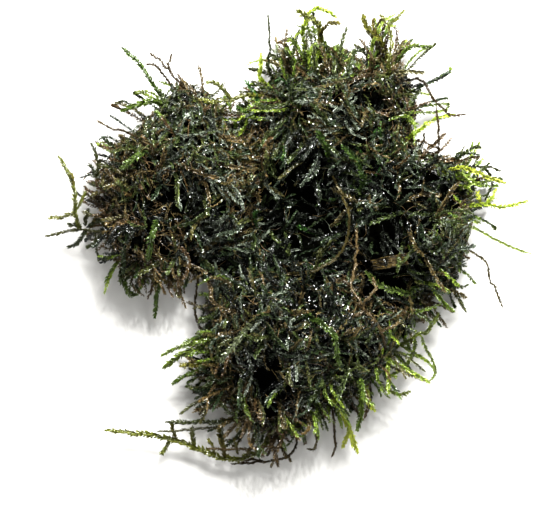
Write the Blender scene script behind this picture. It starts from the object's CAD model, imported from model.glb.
"""Dressed moss clump: branching water moss, loose and wet, seen from straight above.

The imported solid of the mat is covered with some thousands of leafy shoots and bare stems, and each
loose strand is drawn again with its leaves. Tables are in millimetres, in the clump's own frame.
"""

import math
import random
from collections import namedtuple

import bmesh
import bpy
import numpy as np
from mathutils import Matrix, Quaternion, Vector, noise
from mathutils.bvhtree import BVHTree


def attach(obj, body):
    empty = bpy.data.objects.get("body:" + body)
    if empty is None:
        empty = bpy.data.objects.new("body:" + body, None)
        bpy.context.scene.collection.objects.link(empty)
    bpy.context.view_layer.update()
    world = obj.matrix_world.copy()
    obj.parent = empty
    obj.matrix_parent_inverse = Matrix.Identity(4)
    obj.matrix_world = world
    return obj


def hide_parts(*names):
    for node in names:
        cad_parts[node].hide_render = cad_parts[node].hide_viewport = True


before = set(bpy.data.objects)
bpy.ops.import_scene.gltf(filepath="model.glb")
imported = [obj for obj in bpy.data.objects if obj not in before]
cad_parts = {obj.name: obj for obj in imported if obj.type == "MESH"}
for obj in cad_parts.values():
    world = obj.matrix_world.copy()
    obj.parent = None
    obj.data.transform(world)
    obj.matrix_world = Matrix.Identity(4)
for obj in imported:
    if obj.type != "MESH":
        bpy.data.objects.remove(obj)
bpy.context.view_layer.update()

MM = 0.001
SEED = 5
BAKE_MAP = "OFBake"  # across it runs a shoot's kind of colour, and up it the age from root to tip

# --- the view ---

EYE_HEIGHT = 800
LENS, SENSOR = 190.0, 36.0
ROOM_LIGHT = 0.17
FILL = ((-220, -560, 260), 300, 1.7)  # place, size, power
KEY_LAMPS, KEY_PLACE, KEY_SPREAD, KEY_POWER = 26, (120, 420, 480), 140, 13.5
KEY_TURN, KEY_TILT = 2.4, 0.7  # from one lamp to the next, and how the disk of them leans
RING_LAMPS, RING_POWER = 12, 1.5
RINGS = ((230, 560), (400, 400))  # distance and height, by turns
RING_TURN = 0.3  # of the angle from one to the next
LAMP_SIZE = 20
FLOOR_SIZE = 3.0  # metres

# --- the ground that the shoots grow from ---

GROUND_MESH = 2.0
GROUND_EASING, EASING_SHARE = 24, 0.5  # rounds of smoothing, and how far each goes
FELT_DEPTH = 3.6  # from the ground down to the old felted stems
FELT_LUMPS = ((9.0, 1.3), (3.2, 0.7))  # width and height
FELT_EASING = 0.3
FELT_LIFT = 1.2  # the felt's least height over the floor
FELT_GRAIN = 1.1  # of its colour
FLOOR_GAP = 0.15  # no shoot is lower

# --- leaves ---

# Leaf length and width, one leaf every so many mm, its angle off the stem, the stem's radius, the
# share of the shoot that has lost its leaves
Leafing = namedtuple("Leafing", "length width spacing spread stem bare")
LEAFINGS = {
    "fresh": Leafing(1.15, 0.58, 0.15, 34, 0.16, 0.0),
    "rim": Leafing(1.00, 0.50, 0.19, 31, 0.14, 0.0),
    "full": Leafing(0.88, 0.42, 0.18, 32, 0.12, 0.04),
    "thin": Leafing(0.80, 0.37, 0.18, 32, 0.11, 0.08),
    "worn": Leafing(0.80, 0.35, 0.36, 26, 0.12, 0.20),
    "pressed": Leafing(1.25, 0.62, 0.30, 38, 0.13, 0.0),
}
TWO_SIDES_AND_TOP = (0.0, math.pi, 0.5 * math.pi)
ALL_ROUND = (0.0, math.pi, 0.5 * math.pi, -0.5 * math.pi)
PATH_POINTS = 9
LEAF_ROLL, LEAF_SPREAD, LEAF_TILT = 0.3, 7, 0.42  # how they stray: radians, degrees, radians
LEAF_SIZES = (0.8, 1.15)
BUD, BUD_PART = 0.38, 9  # how much smaller leaves get over the shoot's last ninth
CLOSING, CLOSING_LATE = 0.45, 14  # how far they close at the tip, and how near to it
LEAST_LEAVES, LAST_LEAF = 3, 0.995  # on a shoot, and the furthest along it that one grows
AGEING, AGE, AGE_STRAY, AGE_LIMIT = 0.30, 0.05, 0.23, 0.55  # up the colour map, from root to tip
LEAF_PALING = 0.45  # from a leaf's foot to its point
TINT_STRAY, TINT_ACROSS = 0.008, 0.012
MAP_EDGE = 0.002
STEM_TAPER, STEM_WOBBLE, WOBBLE_PACE = 0.45, 0.12, 2.1
STEM_AGES = (0.02, 0.98)

# --- kinds of colour, by their place across the colour map ---

KINDS = {
    # name: place, width, colour when old, colour when young
    "black": (0.04, 0.03, "#040503", "#161912"),
    "silver": (0.13, 0.03, "#0e110d", "#838a7b"),
    "bottle": (0.24, 0.05, "#090c07", "#3b4a33"),
    "moss": (0.37, 0.05, "#0f1209", "#5a663b"),
    "olive": (0.49, 0.05, "#15120a", "#6c6141"),
    "brown": (0.61, 0.04, "#181109", "#635138"),
    "ochre": (0.71, 0.04, "#2c2315", "#877650"),
    "emerald": (0.81, 0.03, "#0e180b", "#3a6130"),
    "sprout": (0.89, 0.02, "#26300f", "#7c9040"),
    "lime": (0.96, 0.02, "#3a481e", "#9aac4a"),
}

# What share of the shoots is of each kind, and where it is another
MIX = dict(black=17, silver=9, bottle=25, moss=20, olive=20, brown=7, ochre=1, emerald=1)
WARM = dict(black=18, bottle=2, moss=8, olive=26, brown=33, ochre=13)
GREY = dict(black=6, silver=48, bottle=15, moss=14, olive=14, brown=3)
DARK = dict(black=50, silver=7, bottle=33, moss=4, olive=2, emerald=4)
LIGHT = dict(black=6, silver=28, bottle=10, moss=27, olive=21, brown=5, ochre=3)
GREEN = dict(black=4, silver=24, bottle=22, moss=32, olive=9, emerald=3, sprout=6)
TAN = dict(bottle=6, olive=30, brown=32, ochre=32)
RIM = dict(bottle=2, moss=18, olive=18, brown=8, ochre=6, sprout=32, lime=16)
RIM_SHARE = 0.85
DULL_RIM = [((-52, 14), 24), ((-34, -8), 14), ((-20, -40), 10)]
PATCHES = [
    # centre, radius, mix
    ((-32, 15), 17, dict(black=40, silver=2, bottle=10, moss=8, olive=21, brown=16, ochre=3)),
    ((-43, 18), 14, WARM),
    ((-36, 30), 8, dict(bottle=16, moss=44, olive=34, brown=6)),
    ((-26, -3), 12, WARM),
    ((16, 46), 14, dict(black=6, silver=18, bottle=22, moss=28, olive=28, brown=6)),
    ((46, 6), 15, GREEN),
    ((20, -26), 13, dict(black=22, silver=13, bottle=29, moss=25, olive=8, emerald=3)),
    ((-9, 22), 12, LIGHT),
    ((-20, 33), 8, GREY),
    ((-12, 20), 7, GREY),
    ((-6, 5), 8, GREY),
    ((-4, 19), 6, TAN),
    ((-3, 32), 6, TAN),
    ((15, 38), 8, GREY),
    ((20, 10), 18, DARK),
    ((47, 14), 6, GREY),
    ((24, -9), 7, TAN),
    ((16, 60), 11, dict(bottle=8, moss=30, olive=30, brown=8, emerald=3, sprout=18, lime=3)),
    ((31, 54), 7, dict(moss=14, olive=38, brown=32, ochre=16)),
    ((44, 44), 10, WARM),
    ((60, 12), 8, dict(bottle=10, moss=38, olive=24, sprout=24, lime=4)),
    ((40, -31), 10, RIM),
    ((2, -24), 16, dict(black=45, silver=8, bottle=21, moss=13, olive=10, brown=6)),
    ((-12, -22), 8, dict(silver=18, bottle=12, moss=24, olive=38, brown=8)),
    ((-16, -35), 8, dict(black=4, silver=4, bottle=6, moss=26, olive=40, brown=16, ochre=4)),
    ((-6, -46), 13, dict(silver=8, moss=16, olive=36, brown=22, ochre=14, sprout=4)),
]

# Dark hollows between the shoots: centre and radius
HOLLOWS = [
    ((10, 22), 8), ((14, 11), 9), ((14, -7), 8), ((46, 17), 7), ((34, 4), 7), ((-1, -33), 7),
    ((-16, 0), 8), ((-9, -3), 5), ((-25, 15), 8), ((3, 4), 5), ((28.8, 43), 4), ((36, -6), 5),
    ((9, 30), 5),
]
HOLLOW_DEPTH = 5.0
HOLLOW_THINNING, HOLLOW_LOSS = 0.7, 0.4  # of the roots in them, and of the shoots across them
HOLLOW_MIX = dict(black=80, bottle=20)

# Where the rim is thin enough to see through: centre, radius, and how far the dense mass stands back
THIN_RIM = [
    ((18, 63), 13, (0, -4.5)),
    ((40, -29), 11, (-2.6, 2.6)),
    ((58, 10), 9, (-1.5, 0)),
    ((46, 44), 12, (-5, -2)),
    ((27, 58), 6, (0, -5)),
    ((-36, 40), 9, (2, -2)),
    ((-50, 8), 10, (2.5, 0.5)),
    ((-14, -42), 9, (2, 2)),
]

# Where few shoots stand out of the rim: centre and radius
GAPS = [
    ((20.5, 66), 8), ((27, 60), 5), ((47, -18), 9), ((38, -30), 6), ((50, 36), 7), ((-18, 50), 6),
    ((64, -5), 9), ((62, 5), 7), ((-40, 38), 6), ((45, 55), 6),
]

# The mat's pieces, each round one of the lobes
LOBES = {
    "mat_left": (-30, 18),
    "mat_far": (22, 46),
    "mat_right": (42, 10),
    "mat_middle": (4, 14),
    "mat_near": (2, -30),
    "mat_corner": (26, -22),
}

CREEPING, FRINGE, FRESH, TUFT_SHOOTS, BARE, UNDER = 4150, 340, 110, 3, 520, 860

# How shoots creep over the ground: their length, how far they curl and stray at each step, and the
# height and pace of their waves
Creep = namedtuple("Creep", "length curl stray wave pace")
CREEP = Creep((6, 13), 0.08, 0.14, 0.7, 0.9)
WORN_CREEP = CREEP._replace(curl=0.18)
BARE_CREEP = Creep((6, 14), 0.25, 0.25, 1.4, 0.8)
UNDER_CREEP = Creep((8, 16), 0.12, 0.14, 0.3, 0.9)
CREEP_LOW, CREEP_HIGH = (-2.4, 0.2), (0.2, 2.2)  # heights at the root and at the tip
BARE_HEIGHT = 0.6
UNDER_DEPTHS = (0.5, 2.4)  # from the floor up to the shoots that lie under the felt

# How they are combed: over what width, by shifts that set X, Y and Z apart, and how strongly
COMB_WIDTH, COMB_SHIFTS, COMB_PULL, FRESH_COMB_PULL = 14, (0, 17, 31), 2.4, 1.6

# Those that stand free: lengths, bends, how far their headings scatter, wander and sag, how much
# they rise, how deep they root, and how far the ground's slope leads them
FRINGE_LENGTHS, FRESH_LENGTHS, SPRAY_LENGTHS = (6, 10.5), (8, 15), (7, 13)
BENDS, FRESH_BEND = (0.03, 0.11), 0.05
FRINGE_SCATTER, FRESH_SCATTER, SPRAY_SCATTER = 0.35, 0.4, 0.3
WANDER, SAG = 0.09, 0.03
FRINGE_RISE, FRINGE_ROOT, FRESH_RISE, FRESH_ROOT, FRESH_OUT = 0.25, 2, 0.3, 0.5, 0.6
TOPS = (0.1, 0.2, 1.0)  # the way in which their leaves' upper sides face

# Those on the tufts: how far they stray at foot, waist and tip, how far below the foot they root, how
# far up they reach, and the share of them that is leafed as the rim is
TUFT_STRAYS, TUFT_ROOT, TUFT_REACH, TUFT_RIM_SHARE = (0.5, 1.1, 1.5), 0.25, (0.72, 1.04), 0.6

# Where they may root: upward shares of the ground's faces, and heights
UNDERSIDE, FLOOR_CLEAR = -0.6, 1.0
RIM_SLOPE, RIM_SLOPE_RANGE, RIM_FLOOR, UPPER_SLOPE = 0.45, 0.4, 5.0, 0.35

LEAFED = {
    "black": "thin", "silver": "full", "bottle": "thin", "moss": "full", "olive": "thin",
    "brown": "worn", "ochre": "worn", "emerald": "full", "sprout": "full", "lime": "full",
}
FRESH_MIX = dict(moss=60, bottle=12, olive=28)
BARE_MIX = dict(brown=5, ochre=2, olive=5, black=3, silver=2)
UNDER_MIX = dict(black=3, bottle=3, olive=4, brown=4)

# Sprays that stand out in one place: root, heading (a longer one makes longer shoots), scatter of the
# roots, count, mix
LIMES, GREENS = dict(lime=3, sprout=5, moss=4, olive=3), dict(moss=6, olive=4, emerald=1, sprout=2)
DARKS, BROWNS = dict(bottle=3, olive=6, moss=4), dict(brown=4, olive=6, moss=2, ochre=1)
SPRAYS = [
    ((6, 53, 15), (-0.4, 1, 0.2), 3, 14, GREENS),
    ((13, 57, 16), (-0.1, 0.6, 0.2), 3.5, 18, LIMES),
    ((33, 56, 18), (0.3, 1, 0.2), 3, 9, BROWNS),
    ((-6, 38, 12), (-0.2, 1, 0.1), 4, 18, GREENS),
    ((-22, 41, 13), (0, 1, 0.2), 4, 9, BROWNS),
    ((-40, 30, 13), (-0.4, 0.3, 0.1), 4, 12, BROWNS),
    ((-43, 14, 11), (-0.6, 0.1, 0), 4, 16, BROWNS),
    ((-41, 4, 9), (-0.5, -0.2, 0), 4, 14, BROWNS),
    ((-36, -4, 8), (-0.2, -0.5, 0), 4, 12, GREENS),
    ((-24, -4, 9), (-0.1, -0.5, 0), 6, 14, DARKS),
    ((-9, -26, 11), (-1, -0.15, 0.1), 4, 14, GREENS),
    ((-10, -35, 9), (-1, -0.5, 0), 4, 18, DARKS),
    ((2, -46, 7), (-0.3, -1, 0), 4, 12, BROWNS),
    ((20, -38, 12), (0.2, -1, 0), 5, 16, LIMES),
    ((33, -26, 12), (1, -0.8, 0), 3, 10, LIMES),
    ((50, -8, 11), (0.6, -1, 0), 4, 14, GREENS),
    ((40, -11, 9), (0.3, -1, 0), 3, 14, GREENS),
    ((54, 19, 15), (0.8, 0.7, 0.1), 3, 14, LIMES),
    ((-15, -38, 8), (-0.9, -0.1, 0), 3, 24, DARKS),
    ((47, 40, 17), (0.9, 0.5, 0.1), 4, 8, BROWNS),
]
BARE_STEM = 0.12

# --- the loose strands: how they are leafed, and their shades ---

LEAFY, SLIM, STEM, HAIR = 1.05, 0.80, 0.50, 0.35  # radius over the leaves
STRAND_LEAFINGS = {
    LEAFY: Leafing(1.45, 0.66, 0.125, 43, 0.24, 0.0),
    SLIM: Leafing(1.15, 0.52, 0.12, 39, 0.19, 0.0),
    STEM: Leafing(0.95, 0.44, 0.13, 34, 0.20, 0.0),
}
STUBS = Leafing(0.80, 0.45, 0.16, 16, 0.15, 0.0)
SHADES = {
    # old: three shades, young: three shades
    "lime": (("#4c5a1c", "#5c6a20", "#6a6e28"), ("#99ab3c", "#aaba49", "#b3b352")),
    "emerald": (("#14210f", "#1b2810", "#232e13"), ("#455a2b", "#526530", "#606d38")),
    "green": (("#1c240e", "#262b10", "#303014"), ("#4f672b", "#5f722e", "#6e7435")),
    "pale": (("#2f3a18", "#3b431b", "#474a22"), ("#7f9146", "#8d9b4f", "#999f5e")),
    "olive": (("#272611", "#333214", "#3b3217"), ("#5a662a", "#6c702f", "#746837")),
    "grey": (("#191c11", "#222417", "#2b2919"), ("#5c654a", "#6d7258", "#7b795c")),
    "dark": (("#10130a", "#191b0c", "#201d10"), ("#30391a", "#3d4320", "#464325")),
    "brown": (("#1b150c", "#241d11", "#2d2515"), ("#3f341f", "#4a3e25", "#55492c")),
    "tan": (("#231c11", "#2d2517", "#382f1e"), ("#4b402b", "#5d5037", "#6e6146")),
    "ochre": (("#211e10", "#292513", "#322d18"), ("#433e24", "#4f482b", "#5b5333")),
}
BARE_SHARES = {"brown": 0.42, "tan": 0.6, "ochre": 0.36}  # of the radius, for stems without leaves
THREAD_SHARE = 0.42  # the same for the thinnest of the others
BARE_FILM = 0.4  # they hold less water
KINKS, BARE_KINKS = 0.16, 0.26
STRAND_SIDES, STRAND_TAPER, STUB_FOOT = 5, 0.7, 0.75
CURVE_STEPS, LEAST_POINTS = 12, 7
STRAND_SEED, STRAND_TINTS, SHADE_PLACES = 100, (0.2, 0.8), (0.1, 0.5, 0.9)
SLOTS = {
    "lime": "young_lime_shoot", "emerald": "green_shoot", "green": "green_shoot", "pale": "green_shoot",
    "olive": "olive_shoot", "grey": "olive_shoot", "dark": "old_dark_shoot",
    "brown": "bare_brown_stem", "tan": "bare_brown_stem", "ochre": "dead_ochre_stem",
}

# The flake of bark: its size and place, and its turn about Y and then about Z
FLAKE_SIZE = (10.3, 3.5, 1.2)
FLAKE_PLACE = (34.2, -0.7, 23.2)
FLAKE_TURN = (-19, 12)
FLAKE_CUTS = (90, 34)
FLAKE_THICKNESS = 0.5
FLAKE_NARROWING, FLAKE_CURL = 0.5, 1.6
# Noise over it: how fine along and across, its height, where it is read
FLAKE_TEARS = ((0, 7, 0.22, 3.1, 0), (0, 23, 0.04, 1.7, 4))
FLAKE_WEAR = ((3, 1, 0.12, 0, 7),)
FLAKE_FIBRES = ((5, 26, 0.10, 0, 2), (14, 60, 0.05, 0, 5))
FLAKE_WAVES = ((2.4, 1.5, 0.25, 0, 9),)
BARK_FIBRES, BARK_STRETCH = 2.4, 6  # length of its streaks, and how many times their width that is
BARK_ROT, BARK_ROT_SHARE = 2.0, 0.65  # size of its rotten patches, and how much they darken it

# Short side branches, by the strand that they grow from: radius, and the route from the tip to the fork
SIDES = {
    "shoot_top_middle": [(SLIM, [(20.1, 64.9, 25), (17.1, 65.1, 24), (14.6, 62.2, 21.3)])],
    "stem_top_tall": [(STEM, [(31.5, 67.5, 23), (33.3, 64.8, 24.2)])],
    "stem_bridge_top": [(SLIM, [(-16.5, 49, 20), (-13.2, 48.5, 20.5), (-10, 44.4, 19)])],
    "shoot_low_bright": [(SLIM, [(21.6, -53, 5), (22.4, -50.6, 7), (23.3, -47.9, 9.2)])],
    "shoot_long": [
        (SLIM, [(-29.6, -55, 4.5), (-28.4, -52.8, 5), (-27, -50.6, 5.5)]),
        (SLIM, [(-26.6, -46.4, 7.5), (-26.3, -48.5, 6.5), (-25.8, -50.9, 5.5)]),
        (SLIM, [(-20.9, -47.3, 7), (-20.9, -50, 6), (-20.2, -52.8, 5.5)]),
        (LEAFY, [(-13.6, -47.6, 6.5), (-12.8, -51, 6.5), (-11.6, -56, 5.9)]),
    ],
    "shoot_left_tall": [
        (SLIM, [(-60.9, 11.6, 10), (-57, 12, 10.5), (-53.4, 13, 11.8)]),
        (STEM, [(-50.6, 19, 12.5), (-51.8, 16.6, 12.3), (-53.3, 14, 11.9)]),
    ],
    "stem_left_twig": [
        (SLIM, [(-55.9, 3.4, 7), (-53, 5, 8.5), (-50.4, 8.2, 9.9)]),
        (HAIR, [(-47.2, -0.4, 8), (-47.6, 3.4, 9.4), (-48, 7.9, 10.4)]),
    ],
    "stem_left_top_brown": [(HAIR, [(-26.6, 57, 18), (-27.2, 54, 17.9), (-26.9, 52, 17.6)])],
    "shoot_right_bright": [(STEM, [(63.6, 19.4, 20), (62.6, 17.2, 20), (60.8, 15.5, 20)])],
    "stem_right_curl": [(HAIR, [(65.4, 24.8, 13.6), (62.6, 25.6, 13.7), (59.4, 26, 14)])],
}

# Branches too small for the solids, by the strand that they grow from
TWIGS = {
    "stem_left_twig": [
        (SLIM, [(-55.6, 9.8, 9.5), (-54, 9.6, 9.4), (-52.2, 8.9, 9.3)]),
        (SLIM, [(-50.1, 14, 11), (-50.6, 11.5, 10.4), (-51, 9.4, 9.8)]),
        (SLIM, [(-46.2, 11, 11.5), (-48.4, 10.2, 10.8), (-50.6, 9, 10)]),
        (SLIM, [(-50.4, 3.4, 8.5), (-48.4, 4.6, 9.2), (-46.6, 6.8, 10.4)]),
        (STEM, [(-45.4, 10.6, 12), (-45.6, 9.2, 11.8), (-45.4, 7.6, 11.3)]),
    ],
    "shoot_left_upright": [
        (SLIM, [(-44.7, 26.9, 14), (-45.8, 27.4, 13.8), (-47.1, 27.2, 13.5)]),
        (STEM, [(-49.6, 26.6, 13.6), (-48.6, 25.4, 13.4), (-47.4, 23, 13)]),
    ],
    "shoot_left_tall": [(STEM, [(-54.4, 23.9, 13.5), (-54.2, 22.4, 13), (-54.5, 20.8, 12.6)])],
    "shoot_low_dark": [
        (HAIR, [(-30.7, -48.4, 8), (-22, -48, 8.6), (-15, -47.3, 9.6), (-12, -46, 10.5)]),
        (STEM, [(-12.3, -50.5, 8), (-12.4, -48.6, 8.8), (-11.6, -45.6, 10.6)]),
    ],
    "shoot_long": [
        (STEM, [(-9.2, -50.4, 8), (-8.6, -52.6, 7.2), (-8, -55, 6.2)]),
        (STEM, [(-16.4, -50.6, 7), (-15.6, -52.4, 6.4), (-14.4, -55.2, 5.6)]),
    ],
    "stem_runner": [(STEM, [(-3.4, -50.3, 11), (-3.9, -51.8, 10.6), (-4.6, -53, 10.2)])],
    "stem_runner_low": [
        (SLIM, [(2.5, -49.5, 6), (1.6, -52, 5), (0.1, -55.6, 3.4)]),
        (STEM, [(-6.9, -57.4, 3.4), (-4, -56.6, 3.2), (-1, -57, 3)]),
    ],
    "shoot_right_bright": [(SLIM, [(58.6, 18.6, 20.4), (58.9, 17, 20.2), (59.6, 15.2, 20)])],
    "stem_valley_brown": [
        (STEM, [(17.6, -9.4, 25), (18.3, -7.2, 25.6), (20.3, -5.4, 26.2), (23, -7.4, 26)]),
        (STEM, [(29.3, -4.9, 25.5), (30, -8.2, 26.5), (27.4, -11.2, 27.2), (26.2, -13, 27.2)]),
        (STEM, [(22, -17.4, 27.4), (24.4, -15.8, 27.8), (27.4, -13.8, 27.6)]),
        (STEM, [(36.4, -17.2, 25), (34.4, -18.6, 25.6), (31.6, -19.8, 26.2)]),
    ],
    "shoot_top_horn": [(STEM, [(29.6, 66.2, 24), (29.4, 64.6, 23.2), (30.4, 62, 21.8)])],
}

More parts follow.
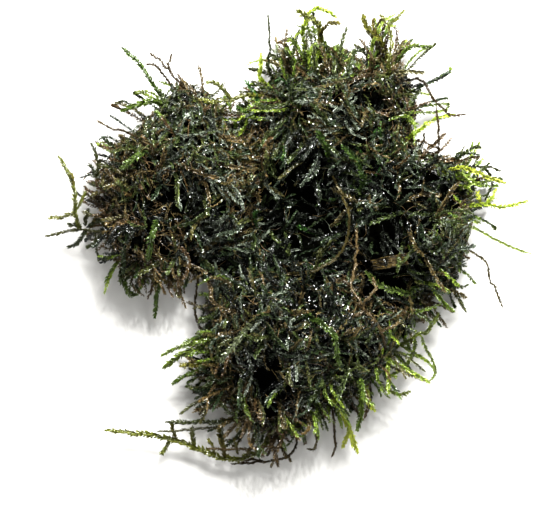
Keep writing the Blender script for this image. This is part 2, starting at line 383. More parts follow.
# Every strand that lies free of the mat: radius, colour, and its route from the tip to the root
STRANDS = {
    # far edge
    "shoot_top_arc": (SLIM, "lime", [
        (19.5, 67.4, 16), (16.8, 69.3, 17), (13.8, 69.9, 17.5), (11.5, 67.9, 17), (10.1, 63.2, 15),
        (11, 57, 11)]),
    "stem_top_dark": (HAIR, "dark", [
        (0.4, 67.4, 24), (1, 58.2, 22), (0.5, 54, 20), (2.4, 50, 16), (5, 46, 11)]),
    "shoot_top_middle": (LEAFY, "olive", [
        (8.5, 68.8, 22), (14.3, 64.9, 22), (14.9, 59.6, 20), (16, 55, 16)]),
    "shoot_top_horn": (LEAFY, "olive", [
        (26.8, 67.4, 24), (27.6, 64.3, 23), (31, 61.5, 21.5), (33.2, 57.6, 19), (33.5, 53, 15)]),
    "stem_top_tall": (SLIM, "olive", [
        (37.9, 68.8, 22), (35.4, 66, 23), (33.5, 64.6, 24.5), (34.3, 60.1, 26), (33.8, 53.8, 27),
        (33, 49, 23)]),
    "shoot_top_right": (SLIM, "green", [
        (45.7, 59, 20), (40.4, 58.8, 21), (36.8, 56, 20), (35, 51, 15)]),
    "stem_bridge_top": (SLIM, "olive", [
        (-22, 43, 13), (-19, 44.3, 17.5), (-14.6, 43.8, 19), (-9.9, 44.3, 19), (-5.7, 45.7, 18),
        (1, 46, 13)]),
    "shoot_top_lime": (SLIM, "lime", [
        (-1.5, 57.5, 13), (-1.8, 53.5, 13.5), (-1.6, 50.5, 13), (2.5, 46.5, 10)]),
    "stem_top_high": (STEM, "brown", [
        (25.4, 60.7, 26), (27.6, 57.9, 28), (29, 54.6, 29), (29.5, 49.5, 24)]),
    # right edge
    "stem_right_upright": (HAIR, "brown", [
        (46.8, 42.1, 24), (47.4, 36.2, 23.5), (47.4, 28.5, 20.5), (45, 23, 16)]),
    "stem_right_loop": (STEM, "brown", [
        (55.4, 40.4, 17), (50.1, 40.7, 20), (46, 44.9, 21.5), (43.2, 49.6, 20), (39, 50, 15)]),
    "shoot_right_pale": (SLIM, "lime", [
        (52.1, 40.4, 15), (45.7, 38.5, 18), (41.5, 35.1, 19), (37, 32, 15)]),
    "shoot_right_long": (SLIM, "lime", [
        (66.5, 21.3, 17), (59, 23.8, 20), (53.8, 25.7, 20.5), (48, 23.5, 16)]),
    "stem_right_curl": (STEM, "dark", [
        (61.3, 16.8, 12), (63.2, 22.4, 13), (59, 26, 14), (54, 25.5, 14), (49, 22, 12)]),
    "shoot_right_bright": (SLIM, "lime", [
        (72.4, 16.3, 19), (65.7, 14.6, 20), (61, 15.4, 20), (54, 14.5, 18)]),
    "shoot_right_thin": (STEM, "pale", [
        (73.8, 1.8, 12), (71.3, 2.4, 12), (62.9, 6, 15), (58.2, 8.8, 16), (52, 9.5, 15)]),
    "stem_right_hair": (HAIR, "ochre", [
        (66.5, -13.5, 8), (62.9, -5.4, 12), (60.1, 0.4, 14), (52, 4, 13)]),
    "stem_corner": (SLIM, "green", [
        (48.2, -15.1, 13), (45.1, -19.9, 14), (42.1, -21.3, 14), (36.5, -24, 14), (32, -24, 13)]),
    "shoot_corner_left": (SLIM, "green", [
        (35.1, -32.6, 9), (39.3, -29.6, 10), (41.5, -25.2, 12.5), (41.5, -22, 14)]),
    "shoot_corner_right": (STEM, "pale", [
        (46, -34.3, 6), (47.6, -32.6, 6.5), (47.1, -28.8, 9), (44.2, -24, 12.5), (43.4, -21.5, 14)]),
    # near edge
    "shoot_low_right": (SLIM, "green", [
        (40.1, -37.1, 11), (36.8, -37.9, 12), (32.4, -35.1, 14), (28, -30, 13)]),
    "shoot_low_bright": (LEAFY, "lime", [
        (25.7, -54.3, 7), (23.5, -48.5, 9), (21.8, -43.8, 12), (19.3, -38.8, 14.5), (17, -33, 13)]),
    "shoot_low_middle": (LEAFY, "green", [
        (25.4, -47.6, 14), (26, -44.3, 15), (26.3, -39.3, 16), (25.5, -32, 13)]),
    "shoot_low_fan": (SLIM, "lime", [
        (30.6, -42.6, 9), (28.8, -40.4, 10.5), (28, -36.5, 12), (27, -30, 12)]),
    "stem_low_brown": (STEM, "brown", [
        (18.5, -55.7, 5), (19.6, -51.5, 6), (18.5, -42.9, 10), (15.7, -38.8, 12), (13, -33, 10)]),
    "stem_low_loop": (STEM, "ochre", [
        (11.5, -53.5, 4), (13.8, -53.5, 4.5), (14, -50.7, 6), (12.4, -43.5, 9), (10, -38, 9)]),
    "shoot_long": (LEAFY, "olive", [
        (-45.4, -48.2, 6), (-39.9, -48.8, 5.5), (-30.7, -49.9, 5.5), (-23.2, -51.8, 5.5),
        (-16.8, -54.6, 5.5), (-10.7, -56.3, 6), (-2.4, -54.3, 7), (1, -49, 8), (2, -44, 8)]),
    "shoot_low_dark": (SLIM, "dark", [
        (-28.2, -45.7, 9), (-21.3, -45.7, 9.5), (-9.9, -45.1, 11), (-3, -41, 9)]),
    "stem_runner": (STEM, "brown", [
        (-16.8, -53.2, 9), (-7.6, -53.2, 10), (1.5, -51.5, 10.5), (5, -45, 8)]),
    "stem_runner_low": (HAIR, "brown", [
        (-9.9, -58, 3), (0.1, -57.2, 3), (7.1, -54.9, 4), (8.2, -49, 5), (6, -43, 6)]),
    "shoot_tail_dark": (SLIM, "dark", [
        (-14.3, -38.8, 13), (-11.5, -41.5, 14), (-9, -43, 13.5), (-5, -39, 11)]),
    # left of the near lobe
    "shoot_near_left_top": (SLIM, "green", [
        (-29.3, -26.8, 14), (-23.2, -24, 15), (-17.4, -22.6, 15.5), (-10, -20, 12)]),
    "shoot_near_left": (LEAFY, "green", [
        (-29, -30.7, 8), (-24, -26.8, 10), (-16.8, -24.5, 11), (-10, -23, 9)]),
    "shoot_near_left_thick": (LEAFY, "olive", [
        (-24, -29.5, 15), (-18.5, -29, 15), (-13.2, -28.8, 14), (-8, -27, 12)]),
    "shoot_near_left_low": (SLIM, "green", [
        (-26.5, -35.1, 7), (-23.2, -32.9, 8), (-16.8, -30.5, 9), (-10, -29, 9)]),
    "shoot_near_left_down": (SLIM, "green", [
        (-18.2, -42.6, 5), (-17.4, -37.1, 7), (-14, -33.5, 8), (-9, -31, 8)]),
    "stem_bridge_low": (STEM, "brown", [
        (-19, 4, 8), (-19.6, -6.5, 6.5), (-20.4, -12.9, 6), (-19, -18.5, 7), (-15, -20.5, 7.5),
        (-10, -18, 8)]),
    # left edge
    "shoot_left_low": (SLIM, "green", [
        (-31.5, -16.3, 6), (-31, -12.9, 7), (-30.1, -7.4, 9), (-29, 0, 9)]),
    "shoot_left_corner": (SLIM, "green", [
        (-36.5, -9.9, 6), (-39.3, -8.8, 6.5), (-39.9, -2.9, 8), (-37, 3, 9)]),
    "stem_left_twig": (STEM, "dark", [
        (-62.4, 6.5, 7.5), (-57.4, 7.6, 8.5), (-52.4, 8.5, 9.5), (-46, 7.5, 11), (-40, 8, 12)]),
    "shoot_left_tall": (SLIM, "olive", [
        (-58.2, 28.8, 12), (-56, 25.1, 12.5), (-53.8, 19.6, 12.5), (-53.2, 11.3, 11.5),
        (-52.4, 8.7, 9.5)]),
    "shoot_left_upright": (SLIM, "dark", [
        (-49, 32.4, 13), (-47.1, 27.9, 13.5), (-47.4, 22.4, 13), (-44.5, 18.5, 12), (-40, 17, 11)]),
    "stem_left_red": (HAIR, "brown", [
        (-47.4, 38.8, 17), (-43.2, 36.3, 18), (-39.3, 35.7, 18), (-34, 33, 16)]),
    "shoot_left_thick": (LEAFY, "green", [
        (-40.1, 41.3, 19), (-35.4, 42.9, 20.5), (-30.7, 44, 20.5), (-24, 41, 16)]),
    "shoot_left_top_long": (SLIM, "green", [
        (-40.4, 59.3, 13), (-37.1, 56.5, 14), (-34, 52.6, 14.5), (-31.3, 48.2, 14), (-27, 43, 11)]),
    "stem_left_top_brown": (STEM, "brown", [
        (-32.4, 57.4, 17), (-28.8, 54.6, 17.5), (-26, 51, 17.5), (-23.2, 48.2, 16.5), (-22, 43, 12)]),
    "stem_left_top_fork": (STEM, "brown", [
        (-33.5, 54.4, 15), (-31, 54.2, 15.3), (-27.5, 50.3, 13.5), (-25, 46.5, 11.5), (-24, 42, 9)]),
    # over the mat
    "shoot_valley_high": (LEAFY, "emerald", [
        (13.8, 34.9, 34), (15.2, 32.8, 32.5), (16.5, 30.7, 30.5), (18, 27, 22)]),
    "shoot_valley": (LEAFY, "emerald", [
        (20.7, 31, 31.5), (24.9, 26.5, 28), (26.5, 22.4, 25.5), (26, 16.5, 20)]),
    "stem_valley_ochre": (SLIM, "ochre", [
        (18, 26, 20), (19, 21.5, 24), (21.3, 16.8, 25), (22.6, 11.3, 25), (21.8, 4, 24),
        (19, 0.4, 24), (14.3, -2.6, 26), (9.6, -3.8, 26), (6, -4, 21)]),
    "stem_valley_brown": (STEM, "tan", [
        (25, 12, 19), (24.9, 7.4, 23.5), (24.6, -0.4, 23.5), (23.4, -7.4, 25.5), (26.3, -12.9, 27),
        (29.6, -16.5, 27), (31.8, -20.7, 26), (33, -25, 20)]),
    "shoot_valley_right": (LEAFY, "emerald", [
        (27.6, -3.4, 26), (30.4, -6.4, 24.5), (35.1, -8.6, 22.5), (40.1, -8.9, 18.5), (43, -6, 14)]),
    "shoot_bottom_emerald": (LEAFY, "emerald", [
        (20.4, -28.8, 29.5), (19.3, -26, 31.5), (18.5, -20.7, 33.5), (15.1, -17.6, 33.5),
        (11, -15, 28)]),
    "shoot_left_emerald": (LEAFY, "emerald", [
        (-39.9, 25.1, 26), (-37.5, 27, 27.5), (-35.4, 28.8, 27), (-32, 31, 22)]),
    "shoot_left_low_emerald": (LEAFY, "emerald", [
        (-32.6, 0.1, 24), (-32, 3.5, 27), (-31.3, 7.1, 29), (-30, 11, 25)]),
    "shoot_near_high": (LEAFY, "grey", [
        (-12.6, -27.9, 31), (-9.5, -24, 31.5), (-6, -19.6, 30), (-3, -16, 24)]),
}


# --- small tools ---


def colour(code):
    """An sRGB hex colour as linear RGBA."""
    values = [int(code[i:i + 2], 16) / 255 for i in (1, 3, 5)]
    return [*(v / 12.92 if v <= 0.04045 else ((v + 0.055) / 1.055) ** 2.4 for v in values), 1.0]


def node(tree, kind, links=(), stops=(), **settings):
    """Adds a node, sets its colour stops, properties and sockets, and links its inputs."""
    made = tree.nodes.new(kind)
    if stops:
        bar = made.color_ramp.elements
        bar.remove(bar[-1])
        bar[0].position, bar[0].color = stops[0]
        for place, value in stops[1:]:
            bar.new(place).color = value
    for name, value in settings.items():
        if hasattr(made, name):
            setattr(made, name, value)
        else:
            made.inputs[name.replace("_", " ")].default_value = value
    for socket, source in dict(links).items():
        tree.links.new(source, made.inputs[socket])
    return made


def placed(name, data):
    """A new object with the data, in the scene."""
    made = bpy.data.objects.new(name, data)
    bpy.context.scene.collection.objects.link(made)
    return made


def smooth_mesh(name, bm):
    """The bmesh as a mesh, shaded smooth."""
    mesh = bpy.data.meshes.new(name)
    bm.to_mesh(mesh)
    bm.free()
    mesh.shade_smooth()
    return mesh


def unit(vectors):
    """The vectors at length one."""
    return vectors / np.maximum(np.linalg.norm(vectors, axis=-1, keepdims=True), 1e-12)


def new_finish(name, **sockets):
    """A material with its shader's sockets set; also its tree and its shader."""
    material = bpy.data.materials.new(name)
    material.use_nodes = True
    shader = material.node_tree.nodes["Principled BSDF"]
    for socket, value in sockets.items():
        shader.inputs[socket.replace("_", " ")].default_value = value
    return material, material.node_tree, shader


def mesh_of(name, parts):
    """One mesh from (points, triangles, map places) parts."""
    points = np.concatenate([part[0] for part in parts])
    offsets = np.cumsum([0] + [len(part[0]) for part in parts[:-1]])
    tris = np.concatenate([part[1] + offset for part, offset in zip(parts, offsets)])
    places = np.concatenate([part[2] for part in parts])
    points[:, 2] = np.maximum(points[:, 2], FLOOR_GAP * MM)
    mesh = bpy.data.meshes.new(name)
    mesh.vertices.add(len(points))
    mesh.vertices.foreach_set("co", points.ravel())
    mesh.loops.add(tris.size)
    mesh.loops.foreach_set("vertex_index", tris.ravel())
    mesh.polygons.add(len(tris))
    mesh.polygons.foreach_set("loop_start", np.arange(0, tris.size, 3))
    mesh.update(calc_edges=True)
    chart = mesh.uv_layers.new(name=BAKE_MAP)
    chart.data.foreach_set("uv", places[tris.ravel()].ravel())
    mesh.shade_smooth()
    return mesh


# --- finishes ---


def wet_moss(name, old, young, film=1.0):
    """Leaves one cell thick under a film of water: soft green below and a hard, clear gloss on top."""
    material, tree, shader = new_finish(
        name, Roughness=0.5, IOR=1.45, Specular_IOR_Level=0.12,
        Coat_Weight=film, Coat_Roughness=0.18, Coat_IOR=1.5,
    )
    chart = node(tree, "ShaderNodeUVMap", uv_map=BAKE_MAP)
    parts = node(tree, "ShaderNodeSeparateXYZ", {"Vector": chart.outputs["UV"]})
    root, tip = (
        node(tree, "ShaderNodeValToRGB", {"Fac": parts.outputs["X"]}, stops).outputs["Color"]
        for stops in (old, young)
    )
    mixed = node(tree, "ShaderNodeMix", {6: root, 7: tip, 0: parts.outputs["Y"]}, data_type="RGBA")
    tree.links.new(mixed.outputs[2], shader.inputs["Base Color"])
    return material


def felt_finish():
    """Old stems and silt felted together, nearly black and soaked."""
    material, tree, shader = new_finish("soaked_felt", Roughness=0.9, Specular_IOR_Level=0.02)
    place = node(tree, "ShaderNodeTexCoord")
    grain = node(
        tree, "ShaderNodeTexNoise", {"Vector": place.outputs["Object"]},
        Scale=1 / (FELT_GRAIN * MM), Detail=4.0,
    )
    stops = [(0.40, colour("#020201")), (0.60, colour("#0a0b06"))]
    shade = node(tree, "ShaderNodeValToRGB", {"Fac": grain.outputs["Fac"]}, stops)
    tree.links.new(shade.outputs["Color"], shader.inputs["Base Color"])
    return material


def mixed_moss():
    """The wet moss of the mat: every kind of colour at its place."""
    stops = sorted((place, old, young) for place, width, old, young in KINDS.values())
    return wet_moss(
        "wet_mixed_moss",
        [(place, colour(old)) for place, old, young in stops],
        [(place, colour(young)) for place, old, young in stops],
    )


# --- the ground ---


def smooth_ground(mat):
    """The mat's body with its tufts smoothed away."""
    made = placed("ground", mat.data.copy())
    bm = bmesh.new()
    bm.from_mesh(made.data)
    bmesh.ops.remove_doubles(bm, verts=bm.verts, dist=1e-6)
    tufts = tuft_lines(bm)
    bm.to_mesh(made.data)
    bm.free()
    remesh = made.modifiers.new("even", "REMESH")
    remesh.mode = "VOXEL"
    remesh.voxel_size = GROUND_MESH * MM
    ease = made.modifiers.new("ease", "SMOOTH")
    ease.factor = EASING_SHARE
    ease.iterations = GROUND_EASING
    graph = bpy.context.evaluated_depsgraph_get()
    mesh = bpy.data.meshes.new_from_object(made.evaluated_get(graph))
    bpy.data.objects.remove(made, do_unlink=True)
    largest_part(mesh)
    for vert in mesh.vertices:
        vert.co += drawn_in(vert.co)
        if vert.co.z > 2 * HOLLOW_DEPTH * MM:
            vert.co.z -= HOLLOW_DEPTH * MM * nearness(vert.co, HOLLOWS)
    mesh.update()
    return mesh, tufts


def drawn_in(point):
    """How far the dense mass stands back from the rim at the point."""
    back = Vector((0, 0, 0))
    for centre, radius, way in THIN_RIM:
        back += Vector((*way, 0)) * nearness(point, [(centre, radius)]) * MM
    return back


def nearness(point, places):
    """1 near the middle of one of the (centre, radius) places, and 0 well outside them."""
    near = 0.0
    for (x, y), radius in places:
        away = math.hypot(point[0] / MM - x, point[1] / MM - y) / radius
        near = max(near, min(1.0, 1.5 - away))
    return near


def tuft_lines(bm):
    """Foot, waist and tip of each of the mat's tufts: a tip on four long sides."""
    lines = []
    bm.verts.index_update()
    for tip in bm.verts:
        if len(tip.link_edges) != 4:
            continue
        waist = [edge.other_vert(tip) for edge in tip.link_edges]
        across = max((a.co - b.co).length for a in waist for b in waist)
        if across > min(edge.calc_length() for edge in tip.link_edges):
            continue
        foot = {edge.other_vert(v) for v in waist for edge in v.link_edges} - {tip, *waist}
        foot = sorted(foot, key=lambda v: v.index)
        lines.append([
            sum((v.co for v in ring), Vector()) / len(ring) for ring in (foot, waist, [tip])
        ])
    return lines


def largest_part(mesh):
    """Drops every loose part but the largest."""
    bm = bmesh.new()
    bm.from_mesh(mesh)
    left, kept = set(bm.verts), set()
    while left:
        part = {left.pop()}
        edge = set(part)
        while edge:
            edge = {e.other_vert(v) for v in edge for e in v.link_edges} - part
            part |= edge
        left -= part
        kept = max(kept, part, key=len)
    bmesh.ops.delete(bm, geom=[v for v in bm.verts if v not in kept], context="VERTS")
    bm.to_mesh(mesh)
    bm.free()


def felt_mesh(ground):
    """The felt under the shoots: the ground drawn in, lumpy, and lifted off the floor."""
    bm = bmesh.new()
    bm.from_mesh(ground)
    bm.normal_update()
    for vert in bm.verts:
        drawn = FELT_DEPTH + sum(noise.noise(vert.co / (w * MM)) * h for w, h in FELT_LUMPS)
        vert.co -= vert.normal * drawn * MM
        vert.co.z = max(vert.co.z, FELT_LIFT * MM)
    bmesh.ops.smooth_vert(
        bm, verts=bm.verts, factor=FELT_EASING, use_axis_x=True, use_axis_y=True, use_axis_z=True
    )
    return smooth_mesh("moss_felt", bm)


# --- shoots ---


def carried(paths, tops):
    """Along each path: its direction, and a side and an up that follow it without twisting."""
    ahead = unit(np.gradient(paths, axis=1))
    up = np.zeros_like(ahead)
    up[:, 0] = unit(np.cross(np.cross(ahead[:, 0], tops), ahead[:, 0]))
    for k in range(1, paths.shape[1]):
        carried_on = up[:, k - 1]
        up[:, k] = unit(carried_on - ahead[:, k] * (carried_on * ahead[:, k]).sum(1, keepdims=True))
    return ahead, np.cross(ahead, up), up


def read(values, shoot, along):
    """Values of the shoots' path points, read between them."""
    last = values.shape[1] - 1
    place = along * last
    low = np.minimum(place.astype(int), last - 1)
    share = (place - low)[:, None]
    return values[shoot, low] * (1 - share) + values[shoot, low + 1] * share


def leaf_shape(kind):
    """A pointed leaf one long and one wide, lying along +Y, hollowed along its middle."""
    bm = bmesh.new()
    if kind == "flat":
        rows = [[(0, 0, 0)], [(-0.5, 0.42, 0.25), (0.5, 0.42, 0.25)], [(0, 1, 0.1)]]
    elif kind == "cup":
        rows = [[(0, 0, 0.2)], [(-0.5, 0.45, 0.3), (0, 0.42, -0.08), (0.5, 0.45, 0.3)], [(0, 1, 0.6)]]
    else:
        rows = [[(0, 0, 0.1)]]
        for y, half in ((0.25, 0.45), (0.62, 0.42)):
            rows.append([(x * half, y, abs(x) * half * 0.6 + (y - 0.3) ** 2) for x in (-1, 0, 1)])
        rows.append([(0, 1, 0.7)])
    before = [bm.verts.new(co) for co in rows[0]]
    for row in rows[1:]:
        ring = [bm.verts.new(co) for co in row]
        if len(before) == 1:
            for a, b in zip(ring, ring[1:]):
                bm.faces.new((before[0], b, a))
        elif len(ring) == 1:
            for a, b in zip(before, before[1:]):
                bm.faces.new((a, b, ring[0]))
        else:
            for a, b, c, d in zip(before, before[1:], ring, ring[1:]):
                bm.faces.new((a, b, d, c))
        before = ring
    bmesh.ops.triangulate(bm, faces=bm.faces)
    bm.verts.index_update()
    points = np.array([v.co for v in bm.verts])
    tris = np.array([[v.index for v in face.verts] for face in bm.faces])
    bm.free()
    return points, tris


def on_map(places):
    """Places on the colour map, kept off its edges."""
    return np.clip(places.reshape(-1, 2), MAP_EDGE, 1 - MAP_EDGE)


LEAF_FLAT, LEAF_CUP, LEAF_FINE = (leaf_shape(kind) for kind in ("flat", "cup", "fine"))


def leaves(paths, tops, tints, leafing, rng, shape, ranks=TWO_SIDES_AND_TOP, foot=0.0):
    """The leaves of a set of shoots, in ranks that point to the tip."""
    ahead, side, up = carried(paths, tops)
    lengths = np.linalg.norm(np.diff(paths, axis=1), axis=2).sum(1)
    counts = np.maximum(LEAST_LEAVES, (lengths * (1 - leafing.bare) / (leafing.spacing * MM)).astype(int))
    shoot = np.repeat(np.arange(len(paths)), counts)
    step = np.arange(len(shoot)) - np.repeat(np.cumsum(counts) - counts, counts)
    along = leafing.bare + (1 - leafing.bare) * (step + rng.random(len(step))) / counts[shoot]
    along = np.minimum(along, LAST_LEAF)
    base = read(paths, shoot, along)
    t, s, u = (unit(read(values, shoot, along)) for values in (ahead, side, up))
    roll = (np.array(ranks)[step % len(ranks)] + rng.normal(0, LEAF_ROLL, len(step)))[:, None]
    out = np.cos(roll) * s + np.sin(roll) * u
    base = base + out * foot * MM
    spread = np.radians(leafing.spread + rng.normal(0, LEAF_SPREAD, len(step)))[:, None]
    spread = spread * (1 - CLOSING * along[:, None] ** CLOSING_LATE)
    forward = np.cos(spread) * t + np.sin(spread) * out
    flat = np.cos(spread) * out - np.sin(spread) * t
    face = np.cross(flat, forward)
    tilt = rng.normal(0, LEAF_TILT, len(step))[:, None]
    flat, face = np.cos(tilt) * flat + np.sin(tilt) * face, np.cos(tilt) * face - np.sin(tilt) * flat
    grown = 1 - BUD + BUD * np.minimum(1, (1 - along) * BUD_PART)
    grown = grown * rng.uniform(*LEAF_SIZES, len(step))
    length = (leafing.length * MM * grown)[:, None, None]
    width = (leafing.width * MM * grown)[:, None, None]
    points, tris = shape
    made = (
        base[:, None]
        + points[None, :, 0:1] * width * flat[:, None]
        + points[None, :, 1:2] * length * forward[:, None]
        + points[None, :, 2:3] * width * face[:, None]
    )
    age = np.clip(along * AGEING + rng.normal(AGE, AGE_STRAY, len(step)), 0.0, AGE_LIMIT)
    tint = tints[shoot] + rng.normal(0, TINT_STRAY, len(step))
    places = np.stack([
        tint[:, None] + points[None, :, 0] * TINT_ACROSS,
        age[:, None] + points[None, :, 1] * LEAF_PALING,
    ], axis=2)
    index = tris[None] + (np.arange(len(base)) * len(points))[:, None, None]
    return made.reshape(-1, 3), index.reshape(-1, 3), on_map(places)


def stems(paths, tops, tints, radius, sides=3, taper=STEM_TAPER):
    """Thin stems along the paths, drawn out to a point."""
    ahead, side, up = carried(paths, tops)
    count, steps = paths.shape[:2]
    along = np.linspace(0, 1, steps)
    wobble = 1 + STEM_WOBBLE * np.sin(WOBBLE_PACE * np.arange(steps))
    wide = radius * MM * (1 - (1 - taper) * along ** 2) * wobble
    turns = np.arange(sides) * math.tau / sides
    ring = (
        np.cos(turns)[None, None, :, None] * side[:, :, None]
        + np.sin(turns)[None, None, :, None] * up[:, :, None]
    )
    made = paths[:, :, None] + ring * wide[None, :, None, None]
    index = np.arange(count * steps * sides).reshape(count, steps, sides)
    a, b = index[:, :-1], index[:, 1:]
    c, d = np.roll(a, -1, axis=2), np.roll(b, -1, axis=2)
    tris = [np.stack([a, c, b], -1).reshape(-1, 3), np.stack([c, d, b], -1).reshape(-1, 3)]
    for i in range(1, sides - 1):
        tris.append(np.stack([index[:, 0, 0], index[:, 0, i + 1], index[:, 0, i]], -1))
        tris.append(np.stack([index[:, -1, 0], index[:, -1, i], index[:, -1, i + 1]], -1))
    across = tints[:, None, None] + np.linspace(-TINT_STRAY, TINT_STRAY, sides)[None, None]
    age = np.clip(along, *STEM_AGES)[None, :, None]
    places = np.stack(np.broadcast_arrays(across, age), axis=-1)
    return made.reshape(-1, 3), np.concatenate(tris), on_map(places)


# --- where shoots run ---


def spots_on(mesh, count, rng, wanted):
    """Random points on the mesh, even by area where wanted says yes."""
    mesh.calc_loop_triangles()
    corners = np.array([[mesh.vertices[i].co for i in tri.vertices] for tri in mesh.loop_triangles])
    normals = np.array([tri.normal for tri in mesh.loop_triangles])
    middle = corners.mean(axis=1)
    share = np.array([tri.area for tri in mesh.loop_triangles]) * wanted(middle / MM, normals)
    chosen = rng.choice(len(share), count, p=share / share.sum())
    a, b = rng.random((2, count, 1))
    flip = a + b > 1
    a, b = np.where(flip, 1 - a, a), np.where(flip, 1 - b, b)
    start, one, two = corners[chosen, 0], corners[chosen, 1], corners[chosen, 2]
    return start + a * (one - start) + b * (two - start), normals[chosen]


def combed(point):
    """The way in which the shoots round the point are laid, longer where they agree more."""
    place = point / (COMB_WIDTH * MM)
    return Vector(noise.noise(place + Vector((shift, 0, 0))) for shift in COMB_SHIFTS)


def waved(creep, wave):
    """The waves along a creeping shoot, from where they start."""
    return [creep.wave * math.sin(wave + i * creep.pace) for i in range(PATH_POINTS)]


def creeping(ground, start, normal, heights, creep, dice):
    """A path that winds over the ground at the given heights."""
    curl, length = dice.gauss(0, creep.curl), dice.uniform(*creep.length)
    comb = combed(start) * COMB_PULL
    heading = comb + Vector((dice.uniform(-1, 1), dice.uniform(-1, 1), dice.uniform(-1, 1)))
    point, path = start, []
    step = length * MM / (PATH_POINTS - 1)
    for height in heights:
        path.append(point + normal * height * MM)
        heading -= normal * heading.dot(normal)
        heading.normalize()
        heading.rotate(Quaternion(normal, curl + dice.gauss(0, creep.stray)))
        point, normal, _, _ = ground.find_nearest(point + heading * step)
    return path


def free(start, heading, length, bend, dice):
    """A path that leaves the ground by its own heading and bends slowly."""
    heading = heading.normalized()
    turn = Quaternion((dice.gauss(0, 1), dice.gauss(0, 1), dice.gauss(0, 1)), bend)
    point, path = start, []
    for _ in range(PATH_POINTS):
        path.append(point)
        heading.rotate(turn)
        x, y, z = (dice.gauss(0, WANDER) for _ in range(3))
        heading += Vector((x, y, z - SAG))
        heading.normalize()
        point = point + heading * length * MM / (PATH_POINTS - 1)
    return path


def scattered(vector, size, dice):
    """The vector, moved a little in all directions."""
    return vector + Vector((dice.gauss(0, size), dice.gauss(0, size), dice.gauss(0, size)))


def along_tuft(line, dice):
    """A path up one of the mat's tufts, a little off its middle."""
    foot, waist, tip = line
    stray = [Vector(dice.gauss(0, s) for _ in range(3)) * MM for s in TUFT_STRAYS]
    a, b, c = foot + stray[0], waist + stray[1], tip + stray[2]
    a += (a - b) * TUFT_ROOT + drawn_in(a)
    reach = dice.uniform(*TUFT_REACH)
    ts = [i / (PATH_POINTS - 1) * reach for i in range(PATH_POINTS)]
    return [a * (1 - t) ** 2 + (b * 2 - (a + c) / 2) * 2 * t * (1 - t) + c * t * t for t in ts]


def kind_at(point, dice):
    """A kind of colour, by the mix of the patch that the point is in."""
    shares = {name: float(MIX.get(name, 0)) for name in KINDS}
    patches = [(nearness(point, [(centre, radius)]), mix) for centre, radius, mix in PATCHES]
    for pull, mix in [*patches, (nearness(point, HOLLOWS), HOLLOW_MIX)]:
        for name in shares:
            shares[name] += (mix.get(name, 0) - shares[name]) * pull
    return dice.choices(list(shares), list(shares.values()))[0]


def lobe_at(point):
    """The mat's piece that the point belongs to."""
    return min(LOBES, key=lambda name: (point.xy / MM - Vector(LOBES[name])).length)


def picked(mix, dice):
    """A kind of colour, by its share of the mix."""
    return dice.choices(list(mix), list(mix.values()))[0]


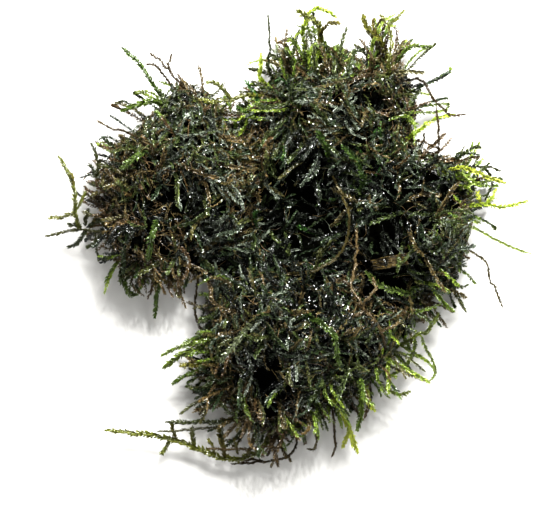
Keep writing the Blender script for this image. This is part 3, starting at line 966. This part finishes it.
def dress_mat(ground_mesh, tufts):
    """The shoots of the mat, by lobe and by how they are leafed."""
    rng = np.random.default_rng(SEED)
    dice = random.Random(SEED)
    ground = BVHTree.FromPolygons(
        [v.co for v in ground_mesh.vertices], [p.vertices for p in ground_mesh.polygons]
    )
    sown = {name: {} for name in [*LOBES, "mat_underside"]}

    def sow(piece, kind, leafing, path, top):
        place, width = KINDS[kind][:2]
        tint = place + dice.uniform(-1, 1) * width
        sown[piece].setdefault(leafing, []).append((path, top, tint))

    def spots(count, wanted):
        return [(Vector(p), Vector(n)) for p, n in zip(*spots_on(ground_mesh, count, rng, wanted))]

    def dressed(middle, normals):
        kept = 1 - HOLLOW_THINNING * np.array([nearness(point * MM, HOLLOWS) for point in middle])
        return np.where((normals[:, 2] < UNDERSIDE) | (middle[:, 2] < FLOOR_CLEAR), 0.0, kept)

    def rim(middle, normals):
        return (np.abs(normals[:, 2] - RIM_SLOPE) < RIM_SLOPE_RANGE) * (middle[:, 2] > RIM_FLOOR)

    def young_at(point):
        past_mass = ground.ray_cast(point, Vector((0, 0, -1)))[0] is None
        return past_mass and dice.random() < RIM_SHARE * (1 - nearness(point, DULL_RIM))

    def upper(middle, normals):
        return (normals[:, 2] > UPPER_SLOPE) * 1.0

    def lower(middle, normals):
        return (normals[:, 2] < UNDERSIDE) * 1.0

    for point, normal in spots(CREEPING, dressed):
        kind = kind_at(point, dice)
        low, high = dice.uniform(*CREEP_LOW), dice.uniform(*CREEP_HIGH)
        waves = waved(CREEP, dice.uniform(0, math.tau))
        heights = [low + (high - low) * (i / (PATH_POINTS - 1)) + w for i, w in enumerate(waves)]
        creep = WORN_CREEP if kind in ("brown", "ochre") else CREEP
        path = creeping(ground, point, normal, heights, creep, dice)
        if dice.random() > HOLLOW_LOSS * nearness(path[PATH_POINTS // 2], HOLLOWS):
            sow(lobe_at(point), kind, LEAFED[kind], path, normal)
    for point, normal in spots(FRINGE, rim):
        heading = scattered(Vector((normal.x, normal.y, FRINGE_RISE)), FRINGE_SCATTER, dice)
        bend = dice.uniform(*BENDS)
        start = point - normal * FRINGE_ROOT * MM
        path = free(start, heading, dice.uniform(*FRINGE_LENGTHS), bend, dice)
        kind = picked(RIM, dice) if young_at(path[-1]) else kind_at(path[-1], dice)
        if dice.random() > nearness(path[-1], GAPS):
            sow(lobe_at(point), kind, "rim", path, Vector(TOPS))
    for point, normal in spots(FRESH, upper):
        out = Vector((normal.x, normal.y, normal.z * FRESH_RISE)) * FRESH_OUT
        heading = scattered(combed(point) * FRESH_COMB_PULL + out, FRESH_SCATTER, dice)
        start = point - normal * FRESH_ROOT * MM
        path = free(start, heading, dice.uniform(*FRESH_LENGTHS), FRESH_BEND, dice)
        sow(lobe_at(point), picked(FRESH_MIX, dice), "fresh", path, Vector(TOPS))
    for root, heading, scatter, count, mix in SPRAYS:
        for _ in range(count):
            start = scattered(Vector(root) * MM, scatter * MM, dice)
            nearest, normal = ground.find_nearest(start)[:2]
            if (start - nearest).dot(normal) > 0:
                start = nearest - normal * MM
            length = dice.uniform(*SPRAY_LENGTHS) * Vector(heading).length
            bend = dice.uniform(*BENDS)
            way = scattered(Vector(heading).normalized(), SPRAY_SCATTER, dice)
            path = free(start, way, length, bend, dice)
            leafing = dice.choice(["fresh", "rim", "rim"])
            sow(lobe_at(start), picked(mix, dice), leafing, path, Vector(TOPS))
    for line in tufts:
        for _ in range(TUFT_SHOOTS):
            leafing = "rim" if dice.random() < TUFT_RIM_SHARE else "full"
            kind = picked(RIM, dice) if young_at(line[2]) else kind_at(line[2], dice)
            if dice.random() > nearness(line[2], GAPS):
                sow(lobe_at(line[0]), kind, leafing, along_tuft(line, dice), Vector(TOPS))
    for point, normal in spots(BARE, dressed):
        heights = [BARE_HEIGHT + w for w in waved(BARE_CREEP, dice.uniform(0, math.tau))]
        path = creeping(ground, point, normal, heights, BARE_CREEP, dice)
        sow(lobe_at(point), picked(BARE_MIX, dice), "bare", path, normal)
    for point, normal in spots(UNDER, lower):
        depth, wave = dice.uniform(*UNDER_DEPTHS), dice.uniform(0, math.tau)
        heights = [-depth - w for w in waved(UNDER_CREEP, wave)]
        path = creeping(ground, point, normal, heights, UNDER_CREEP, dice)
        sow("mat_underside", picked(UNDER_MIX, dice), "pressed", path, normal)
    return sown, rng


def mat_mesh(name, groups, rng):
    """One piece of the mat, from its shoots by how they are leafed."""
    parts = []
    for leafing, shoots in groups.items():
        paths = np.array([[tuple(point) for point in path] for path, top, tint in shoots])
        tops = np.array([tuple(top) for path, top, tint in shoots])
        tints = np.array([tint for path, top, tint in shoots])
        if leafing == "bare":
            parts.append(stems(paths, tops, tints, BARE_STEM))
            continue
        kind = LEAFINGS[leafing]
        parts.append(stems(paths[:, ::2], tops, tints, kind.stem))
        shape = LEAF_CUP if leafing in ("fresh", "rim") else LEAF_FLAT
        parts.append(leaves(paths, tops, tints, kind, rng, shape))
    return mesh_of(name, parts)


# --- the loose strands ---


def route(points, step=1.0):
    """A smooth way through the points, in even steps."""
    p = np.array([points[0], *points, points[-1]], float)
    t = np.linspace(0, 1, CURVE_STEPS, endpoint=False)[:, None]
    curve = [
        0.5 * (2 * b + (c - a) * t + (2 * a - 5 * b + 4 * c - d) * t * t + (3 * b - a - 3 * c + d) * t ** 3)
        for a, b, c, d in zip(p, p[1:], p[2:], p[3:])
    ]
    curve = np.concatenate([*curve, p[-1:]])
    run = np.concatenate([[0], np.cumsum(np.linalg.norm(np.diff(curve, axis=0), axis=1))])
    even = np.linspace(0, run[-1], max(LEAST_POINTS, round(run[-1] / step)))
    return np.stack([np.interp(even, run, curve[:, i]) for i in range(3)], axis=1)


def shaken(path, rng, size):
    """The path with the small kinks of a grown stem; its ends stay."""
    kinks = rng.normal(0, size, (len(path) // 2 + 2, 3))
    place = np.linspace(0, len(kinks) - 1, len(path))
    added = np.stack([np.interp(place, range(len(kinks)), kinks[:, i]) for i in range(3)], axis=1)
    return path + added * np.sin(np.linspace(0, math.pi, len(path)))[:, None] ** 0.5


def strand_mesh(name, runs, look, rng):
    """One strand with its side branches; runs are (radius, points from tip to root)."""
    parts = []
    for radius, points in runs:
        bare = look in BARE_SHARES
        path = shaken(route(points[::-1]), rng, BARE_KINKS if bare else KINKS)[None] * MM
        tops = np.array([TOPS])
        tints = np.array([rng.uniform(*STRAND_TINTS)])
        leafing = None if bare else STRAND_LEAFINGS.get(radius)
        stem = leafing.stem if leafing else radius * BARE_SHARES.get(look, THREAD_SHARE)
        parts.append(stems(path, tops, tints, stem, STRAND_SIDES, STRAND_TAPER))
        if leafing:
            parts.append(leaves(path, tops, tints, leafing, rng, LEAF_FINE, ALL_ROUND))
        else:
            foot = STUB_FOOT * stem
            parts.append(leaves(path, tops, tints, STUBS, rng, LEAF_CUP, ALL_ROUND, foot))
    return mesh_of(name, parts)


def roughness(x, y, layers):
    """Noise at a place of the flake, as high as its layers say."""
    return sum(noise.noise((x * a + at, y * b, c)) * high for a, b, high, at, c in layers)


def flake_mesh():
    """A torn flake of bark: fibres along it, ragged ends, and its sides curled up a little."""
    length, width, height = FLAKE_SIZE
    bm = bmesh.new()
    bmesh.ops.create_grid(bm, x_segments=FLAKE_CUTS[0], y_segments=FLAKE_CUTS[1], size=0.5)
    for vert in bm.verts:
        x, y = vert.co.x, vert.co.y
        torn, worn, fibre, wave = (
            roughness(x, y, layers) for layers in (FLAKE_TEARS, FLAKE_WEAR, FLAKE_FIBRES, FLAKE_WAVES)
        )
        vert.co = Vector((
            x * (1 + torn * abs(x) * 2) * length,
            y * (1 + worn - FLAKE_NARROWING * x * x) * width,
            (FLAKE_CURL * y * y + wave + fibre) * height,
        ))
    bmesh.ops.recalc_face_normals(bm, faces=bm.faces)
    bmesh.ops.solidify(bm, geom=list(bm.faces), thickness=FLAKE_THICKNESS)
    turn = Matrix.Rotation(math.radians(FLAKE_TURN[1]), 4, "Z")
    turn = turn @ Matrix.Rotation(math.radians(FLAKE_TURN[0]), 4, "Y")
    place = Matrix.Translation(Vector(FLAKE_PLACE) * MM) @ turn @ Matrix.Scale(MM, 4)
    bmesh.ops.transform(bm, matrix=place, verts=bm.verts)
    bmesh.ops.recalc_face_normals(bm, faces=bm.faces)
    return smooth_mesh("bark_flake", bm)


def bark_finish():
    """Dead inner bark, torn and soaked: ochre streaks along the fibres, darker where it rots."""
    material, tree, shader = new_finish(
        "soaked_bark", Roughness=0.65, Specular_IOR_Level=0.2, Coat_Weight=0.5, Coat_Roughness=0.3
    )
    place = node(tree, "ShaderNodeTexCoord")
    along = node(
        tree, "ShaderNodeMapping", {"Vector": place.outputs["Object"]},
        Rotation=(0, 0, -math.radians(FLAKE_TURN[1])), Scale=(1, BARK_STRETCH, 1),
    )
    fibres = node(
        tree, "ShaderNodeTexNoise", {"Vector": along.outputs["Vector"]},
        Scale=1 / (BARK_FIBRES * MM), Detail=5.0,
    )
    rot = node(
        tree, "ShaderNodeTexNoise", {"Vector": place.outputs["Object"]},
        Scale=1 / (BARK_ROT * MM), Detail=3.0,
    )
    streaks = node(tree, "ShaderNodeValToRGB", {"Fac": fibres.outputs["Fac"]}, [
        (0.36, colour("#1c160a")), (0.50, colour("#403517")), (0.64, colour("#625226")),
    ])
    dark = node(tree, "ShaderNodeValToRGB", {"Fac": rot.outputs["Fac"]}, [
        (0.42, colour("#3a3018")), (0.60, colour("#ffffff")),
    ])
    mixed = node(
        tree, "ShaderNodeMix", {6: streaks.outputs["Color"], 7: dark.outputs["Color"]},
        data_type="RGBA", blend_type="MULTIPLY",
    )
    mixed.inputs[0].default_value = BARK_ROT_SHARE
    tree.links.new(mixed.outputs[2], shader.inputs["Base Color"])
    return material


def dress_strands():
    """Draws each loose strand again, leafy or bare."""
    finishes = {
        look: wet_moss("wet_" + look, *shades, BARE_FILM if look in BARE_SHARES else 1.0)
        for look, shades in strand_shades().items()
    }
    for index, (name, (radius, look, points)) in enumerate(STRANDS.items()):
        rng = np.random.default_rng(STRAND_SEED + index)
        runs = [(radius, points), *SIDES.get(name, []), *TWIGS.get(name, [])]
        mesh = strand_mesh(name, runs, look, rng)
        add_piece("leafy_" + name, mesh, finishes[look], SLOTS[look], name)


def strand_shades():
    """Two ramps, old and young, of each strand's shades."""
    return {
        look: [
            [(place, colour(code)) for place, code in zip(SHADE_PLACES, codes)]
            for codes in (old, young)
        ]
        for look, (old, young) in SHADES.items()
    }


# --- putting it together ---


def add_piece(name, mesh, finish, slot, *nodes):
    """Adds a piece that stands for the nodes."""
    made = placed(name, mesh)
    mesh.materials.append(finish)
    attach(made, "root")
    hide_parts(*nodes)


def set_stage():
    """A pale floor in a pale room, under a disk of key lamps, a ring of weak ones and a fill."""
    bm = bmesh.new()
    bmesh.ops.create_grid(bm, x_segments=1, y_segments=1, size=FLOOR_SIZE)
    mesh = bpy.data.meshes.new("floor")
    bm.to_mesh(mesh)
    bm.free()
    mesh.materials.append(new_finish("white_paper", Base_Color=colour("#bfbebb"), Roughness=0.9)[0])
    floor = placed("floor", mesh)
    world = bpy.data.worlds.new("room")
    bpy.context.scene.world = world
    world.use_nodes = True
    world.node_tree.nodes["Background"].inputs["Color"].default_value = colour("#ffffff")
    world.node_tree.nodes["Background"].inputs["Strength"].default_value = ROOM_LIGHT
    lamps = {"fill": FILL}
    for turn in range(KEY_LAMPS):
        out, angle = KEY_SPREAD * math.sqrt((turn + 0.5) / KEY_LAMPS), turn * KEY_TURN
        x, y, z = KEY_PLACE
        lean = KEY_TILT * out * math.sin(angle)
        place = (x + out * math.cos(angle), y + lean, z - lean)
        lamps[f"key_{turn}"] = (place, LAMP_SIZE, KEY_POWER / KEY_LAMPS)
    for turn in range(RING_LAMPS):
        angle = math.tau * (turn + RING_TURN) / RING_LAMPS
        out, high = RINGS[0] if turn % 2 else RINGS[1]
        place = (out * math.cos(angle), out * math.sin(angle), high)
        lamps[f"ring_{turn}"] = (place, LAMP_SIZE, RING_POWER / RING_LAMPS)
    for name, (place, size, power) in lamps.items():
        light = bpy.data.lights.new(name, "AREA")
        light.shape = "DISK"
        light.size = size * MM
        light.energy = power
        lamp = placed(name, light)
        lamp.location = Vector(place) * MM
        lamp.rotation_euler = (-lamp.location).to_track_quat("-Z", "Y").to_euler()
    view = bpy.context.scene.view_settings
    view.view_transform = "Standard"
    view.look = "High Contrast"


def set_camera():
    """Straight down on the clump, from far enough that its sides hardly lean."""
    data = bpy.data.cameras.new("camera")
    data.sensor_width = SENSOR
    data.lens = LENS
    camera = placed("camera", data)
    camera.location = (0, 0, EYE_HEIGHT * MM)
    bpy.context.scene.camera = camera


def build():
    """The stage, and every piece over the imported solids."""
    set_camera()
    set_stage()
    ground, tufts = smooth_ground(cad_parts["moss_mat"])
    moss = mixed_moss()
    add_piece("moss_felt", felt_mesh(ground), felt_finish(), "moss_mat_mixed", "moss_mat")
    sown, rng = dress_mat(ground, tufts)
    for name, groups in sown.items():
        add_piece(name, mat_mesh(name, groups, rng), moss, "moss_mat_mixed", "moss_mat")
    dress_strands()
    add_piece("bark_flake", flake_mesh(), bark_finish(), "dead_ochre_stem", "bark_chip")


build()
